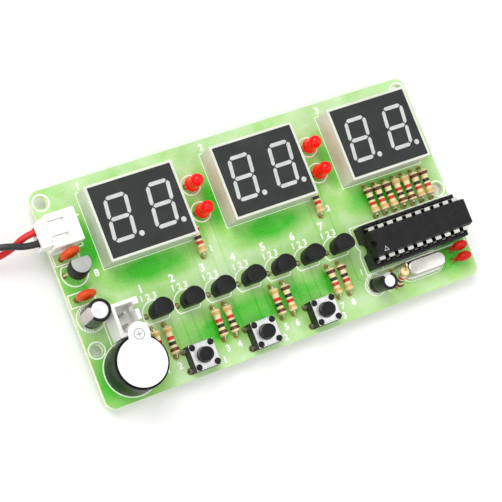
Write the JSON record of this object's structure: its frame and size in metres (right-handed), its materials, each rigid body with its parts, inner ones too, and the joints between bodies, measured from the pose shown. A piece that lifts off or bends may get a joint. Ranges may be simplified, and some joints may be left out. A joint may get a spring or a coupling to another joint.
{
  "type": "digital clock board",
  "caption": "Green circuit board clock with paired seven-segment LED displays, indicator lamps, a socketed chip, push switches, a round sounder and a plug-in power lead.",
  "frame": {"origin": "on the floor plane under the centre of the board, at the tips of the longest solder joints", "axes": "+X along the long edge to the right of the displays as they are read, +Y up the displays, +Z out of the component side"},
  "size_m": [0.1317, 0.05, 0.0147],
  "materials": {
    "board_laminate": "green solder mask over glass laminate",
    "solder": "bright tin solder",
    "display_white": "moulded white",
    "display_black": "matt black film",
    "segment_grey": "milky diffuser resin",
    "carrier_laminate": "bare laminate",
    "tinned_wire": "tinned copper",
    "contact_metal": "tinned spring brass",
    "lamp_red": "tinted clear red resin",
    "moulded_black": "moulded epoxy",
    "socket_black": "moulded black",
    "crystal_steel": "nickel plated, brushed",
    "resistor_cream": "lacquered, with colour bands",
    "can_aluminium": "drawn aluminium",
    "sleeve_black": "shrunk sleeve",
    "bung_rubber": "moulded rubber",
    "ceramic_orange": "dipped lacquer",
    "cover_steel": "pressed sheet",
    "button_black": "moulded black",
    "sounder_black": "moulded black",
    "seal_paper": "white adhesive seal",
    "coil_copper": "enamelled copper winding",
    "connector_white": "natural white nylon",
    "wire_red": "soft vinyl insulation",
    "wire_black": "soft vinyl insulation"
  },
  "bodies": {
    "board": {"base_resistors": "resistor_cream", "capacitor_bungs": "bung_rubber", "capacitor_cans": "can_aluminium", "capacitor_leads": "tinned_wire", "capacitor_sleeves": "sleeve_black", "ceramic_capacitors": "ceramic_orange", "chip_socket": "socket_black", "circuit_board": "board_laminate", "crystal_base": "crystal_steel", "crystal_can": "crystal_steel", "display_carriers": "carrier_laminate", "display_left_face": "display_black", "display_left_housing": "display_white", "display_left_segments": "segment_grey", "display_middle_face": "display_black", "display_middle_housing": "display_white", "display_middle_segments": "segment_grey", "display_pins": "tinned_wire", "display_right_face": "display_black", "display_right_housing": "display_white", "display_right_segments": "segment_grey", "driver_transistors": "moulded_black", "header_pins": "tinned_wire", "indicator_lamps": "lamp_red", "indicator_resistors": "resistor_cream", "microcontroller_body": "moulded_black", "microcontroller_legs": "tinned_wire", "power_header": "connector_white", "reset_resistor": "resistor_cream", "resistor_leads": "tinned_wire", "segment_resistors": "resistor_cream", "semiconductor_leads": "tinned_wire", "socket_contacts": "contact_metal", "solder_joints": "solder", "sounder_base": "carrier_laminate", "sounder_case": "sounder_black", "sounder_coil": "coil_copper", "sounder_diaphragm": "cover_steel", "sounder_pins": "tinned_wire", "sounder_seal": "seal_paper", "spare_header": "connector_white", "standing_solder_joints": "solder", "switch_1_base": "socket_black", "switch_1_cover": "cover_steel", "switch_2_base": "socket_black", "switch_2_cover": "cover_steel", "switch_3_base": "socket_black", "switch_3_cover": "cover_steel", "switch_domes": "contact_metal", "switch_terminals": "contact_metal", "voltage_regulator": "moulded_black"},
    "switch_1_plunger": {"switch_1_button": "button_black"},
    "switch_2_plunger": {"switch_2_button": "button_black"},
    "switch_3_plunger": {"switch_3_button": "button_black"},
    "power_lead": {"power_plug": "connector_white", "plug_contacts": "contact_metal", "red_wire": "wire_red", "black_wire": "wire_black", "red_wire_coil": "wire_red", "black_wire_coil": "wire_black"}
  },
  "joints": [
    {"name": "switch_1_press", "type": "slide", "parent": "board", "child": "switch_1_plunger", "axis": [0, 0, -1], "range_m": [0, 0.00025], "stiffness_N_per_m": 4000},
    {"name": "switch_2_press", "type": "slide", "parent": "board", "child": "switch_2_plunger", "axis": [0, 0, -1], "range_m": [0, 0.00025], "stiffness_N_per_m": 4000},
    {"name": "switch_3_press", "type": "slide", "parent": "board", "child": "switch_3_plunger", "axis": [0, 0, -1], "range_m": [0, 0.00025], "stiffness_N_per_m": 4000},
    {"name": "plug_pull", "type": "slide", "parent": "board", "child": "power_lead", "axis": [-1, 0, 0], "range_m": [0, 0.008]}
  ]
}
